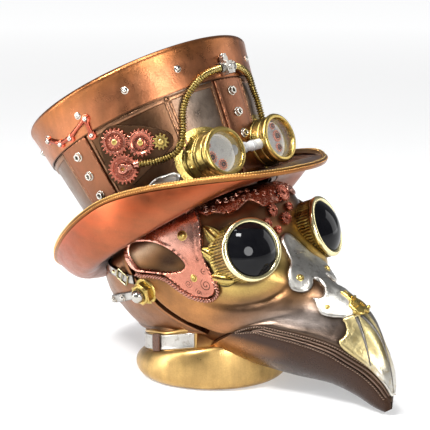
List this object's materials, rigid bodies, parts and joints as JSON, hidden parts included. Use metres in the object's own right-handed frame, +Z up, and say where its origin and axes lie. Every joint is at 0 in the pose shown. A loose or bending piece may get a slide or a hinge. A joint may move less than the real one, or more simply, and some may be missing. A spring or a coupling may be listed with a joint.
{
  "type": "plague doctor mask bust",
  "caption": "Tabletop bust of a long-beaked plague doctor mask with round goggle eyes, a lift-off steampunk top hat and a meshing gear train on its crown.",
  "frame": {"origin": "centre of the base's bottom face", "axes": "+Z up from the base, -Y towards the beak, +X towards the figure's left"},
  "size_m": [0.1184, 0.2, 0.1595],
  "materials": {
    "felt_dark": "matt",
    "antique_gold": "satin metallic paint on cast resin",
    "strap_silver": "bright metallic paint on cast resin",
    "keeper_leather": "waxed",
    "dowel_steel": "machined",
    "form_bronze": "satin metallic paint on cast resin",
    "hood_bronze": "satin metallic paint on cast resin",
    "mask_bronze": "satin metallic paint on cast resin, shaded to gunmetal on the beak",
    "beak_umber": "satin metallic paint on cast resin",
    "piping_brown": "waxed, stitched",
    "plate_silver": "bright metallic paint on cast resin, worn",
    "tip_gilt": "gilding over silver on cast resin",
    "aged_brass": "antiqued brass",
    "rim_brass": "polished",
    "black_glass": "polished, opaque",
    "copper_pink": "bright metallic paint on cast resin",
    "copper_brown": "satin metallic paint on cast resin",
    "crown_patina": "satin metallic paint on cast resin, patinated",
    "brim_copper": "satin metallic paint on cast resin",
    "binding_gold": "gold paint on cast resin, stitched",
    "nut_steel": "worn",
    "sweatband_leather": "plain",
    "goggle_glass": "polished",
    "hose_brass": "antiqued brass",
    "gear_copper": "bright metallic paint on cast resin",
    "pinion_brass": "antiqued brass"
  },
  "bodies": {
    "bust": {"felt_pad": "felt_dark", "base_disc": "antique_gold", "neck_collar": "antique_gold", "neck_strap": "strap_silver", "strap_keeper": "keeper_leather", "neck_dowel": "dowel_steel", "head_form": "form_bronze", "hood_shell": "hood_bronze", "mask_shell": "mask_bronze", "lower_beak": "beak_umber", "mouth_piping": "piping_brown", "beak_plate": "plate_silver", "beak_tip_plate": "tip_gilt", "beak_clamp": "aged_brass", "beak_fasteners": "aged_brass", "eye_barrel_right": "aged_brass", "eye_barrel_left": "aged_brass", "eye_ring_right": "rim_brass", "eye_ring_left": "rim_brass", "eye_lens_right": "black_glass", "eye_lens_left": "black_glass", "eye_claws": "aged_brass", "cheek_plate_right": "copper_pink", "cheek_plate_left": "copper_pink", "cheek_trim_right": "copper_pink", "cheek_trim_left": "copper_pink", "cheek_rivets": "aged_brass", "brow_trim": "copper_pink", "brow_gears": "gear_copper", "side_straps": "strap_silver", "side_buckles": "aged_brass", "nape_strap": "strap_silver", "nape_studs": "nut_steel", "ear_bosses": "aged_brass", "ear_screws": "nut_steel"},
    "hat": {"hat_crown": "crown_patina", "hat_top": "copper_brown", "hat_band": "copper_brown", "band_rivets": "nut_steel", "hat_straps": "copper_brown", "strap_studs": "nut_steel", "strap_nuts": "nut_steel", "hat_brim": "brim_copper", "brim_binding": "binding_gold", "sweatband": "sweatband_leather", "gear_plate": "crown_patina", "gear_axles": "aged_brass", "hose": "hose_brass", "hose_clamp": "strap_silver", "hose_banjo": "gear_copper", "goggle_cups": "aged_brass", "goggle_bezels": "aged_brass", "goggle_lenses": "goggle_glass", "goggle_gears": "gear_copper", "goggle_bridge": "strap_silver", "goggle_strap": "strap_silver"},
    "gear_a": {"gear_a": "gear_copper"},
    "gear_b": {"gear_b": "gear_copper"},
    "gear_c": {"gear_c": "gear_copper"},
    "gear_pinion": {"gear_pinion": "pinion_brass"}
  },
  "joints": [
    {"name": "hat_lift", "type": "slide", "parent": "bust", "child": "hat", "axis": [-0.0374, 0.515, 0.8564], "range_m": [0, 0.045]},
    {"name": "gear_a_spin", "type": "hinge", "parent": "hat", "child": "gear_a", "pos_m": [-0.04933, 0.01386, 0.11472], "axis": [-0.8415, -0.5322, 0.0928], "continuous": true},
    {"name": "gear_b_spin", "type": "hinge", "parent": "hat", "child": "gear_b", "pos_m": [-0.0429, 0.00373, 0.11482], "axis": [-0.8415, -0.5322, 0.0928], "continuous": true},
    {"name": "gear_c_spin", "type": "hinge", "parent": "hat", "child": "gear_c", "pos_m": [-0.04795, 0.00964, 0.10293], "axis": [-0.8415, -0.5322, 0.0928], "continuous": true},
    {"name": "pinion_spin", "type": "hinge", "parent": "hat", "child": "gear_pinion", "pos_m": [-0.03789, -0.00407, 0.11563], "axis": [-0.8415, -0.5322, 0.0928], "continuous": true}
  ],
  "couplings": [
    {"joint": "gear_b_spin", "follows": "gear_a_spin", "ratio": -1},
    {"joint": "gear_c_spin", "follows": "gear_a_spin", "ratio": -0.90909},
    {"joint": "pinion_spin", "follows": "gear_a_spin", "ratio": 1.8182}
  ]
}
